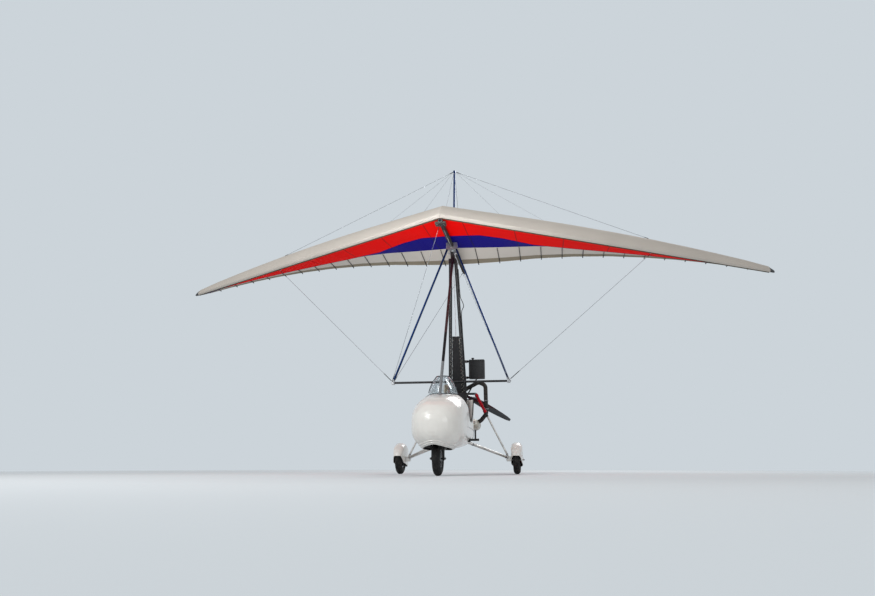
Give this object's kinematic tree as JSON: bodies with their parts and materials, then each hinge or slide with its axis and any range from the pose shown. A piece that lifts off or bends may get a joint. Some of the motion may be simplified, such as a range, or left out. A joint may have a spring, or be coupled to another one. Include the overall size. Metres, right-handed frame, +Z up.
{
  "type": "flex-wing microlight aircraft",
  "caption": "Swept fabric wing on a tilting hang block over an open-cockpit pod with a steerable nose wheel, faired main wheels and a pusher engine with propeller.",
  "frame": {"origin": "on the ground under the centre of the whole craft's outline", "axes": "+Z up, nose towards -Y, the craft's port side towards +X"},
  "size_m": [9.803, 3.7707, 4.5418],
  "materials": {
    "sail_cloth": "matte",
    "band_cloth": "matte",
    "red_cloth": "satin",
    "blue_cloth": "satin",
    "batten_tube": "matte",
    "black_plastic": "matte",
    "keel_tube": "satin",
    "alloy": "satin",
    "blue_tube": "gloss",
    "stay_wire": "satin",
    "bar_grip": "matte",
    "dark_tube": "satin",
    "strut_tube": "satin",
    "frame_steel": "satin",
    "pod_shell": "gloss",
    "screen": "clear",
    "seat_fabric": "matte",
    "panel_fabric": "matte",
    "tank_plastic": "satin",
    "leg_tube": "satin",
    "shock_red": "gloss",
    "engine_alloy": "satin",
    "engine_black": "matte",
    "radiator_core": "matte",
    "beige_box": "matte",
    "pipe_wrap": "matte",
    "muffler_metal": "satin",
    "tyre_rubber": "matte",
    "rim_alloy": "satin",
    "blade_composite": "gloss"
  },
  "bodies": {
    "trike": {"mast": "dark_tube", "front_strut": "strut_tube", "chassis": "frame_steel", "strut_foot": "frame_steel", "seat_base": "frame_steel", "nacelle": "pod_shell", "dash_panel": "black_plastic", "windscreen": "screen", "front_seat": "seat_fabric", "rear_seat": "seat_fabric", "back_panel": "panel_fabric", "step_bar": "black_plastic", "fuel_tank": "tank_plastic", "gear_legs": "leg_tube", "shock_units": "shock_red", "spat_left": "pod_shell", "spat_right": "pod_shell", "engine_block": "engine_alloy", "cylinders": "engine_black", "radiator": "radiator_core", "air_box": "beige_box", "exhaust_pipe": "pipe_wrap", "muffler": "muffler_metal"},
    "hang": {"hang_block": "alloy"},
    "wing": {"sail_left": "sail_cloth", "sail_right": "sail_cloth", "trailing_bands": "band_cloth", "red_panels": "red_cloth", "blue_panels": "blue_cloth", "battens": "batten_tube", "end_caps": "black_plastic", "keel": "keel_tube", "keel_pocket": "band_cloth", "nose_cover": "alloy", "kingpost": "blue_tube", "stays": "stay_wire", "uprights": "blue_tube", "basebar": "bar_grip", "frame_fittings": "alloy"},
    "fork": {"nose_fork": "frame_steel"},
    "nose_wheel": {"nose_tyre": "tyre_rubber", "nose_rim": "rim_alloy"},
    "left_wheel": {"left_tyre": "tyre_rubber", "left_rim": "rim_alloy"},
    "right_wheel": {"right_tyre": "tyre_rubber", "right_rim": "rim_alloy"},
    "propeller_body": {"propeller": "blade_composite"}
  },
  "joints": [
    {"name": "wing_pitch", "type": "hinge", "parent": "trike", "child": "hang", "pos_m": [0, -0.11884, 3.15], "axis": [-1, 0, 0], "range_deg": [-8, 12]},
    {"name": "wing_roll", "type": "hinge", "parent": "hang", "child": "wing", "pos_m": [0, -0.11277, 3.23679], "axis": [0, 1, -0.0055], "range_deg": [-14, 14]},
    {"name": "nose_steer", "type": "hinge", "parent": "trike", "child": "fork", "pos_m": [0, -1.51384, 0.5], "axis": [0, 0, 1], "range_deg": [-25, 25]},
    {"name": "nose_wheel_spin", "type": "hinge", "parent": "fork", "child": "nose_wheel", "pos_m": [0, -1.48384, 0.2], "axis": [1, 0, 0], "continuous": true},
    {"name": "left_wheel_spin", "type": "hinge", "parent": "trike", "child": "left_wheel", "pos_m": [0.84, 0.29616, 0.2], "axis": [1, 0, 0], "continuous": true},
    {"name": "right_wheel_spin", "type": "hinge", "parent": "trike", "child": "right_wheel", "pos_m": [-0.84, 0.29616, 0.2], "axis": [1, 0, 0], "continuous": true},
    {"name": "propeller_spin", "type": "hinge", "parent": "trike", "child": "propeller_body", "pos_m": [0, 0.78116, 1.2], "axis": [0, 1, 0], "continuous": true}
  ]
}
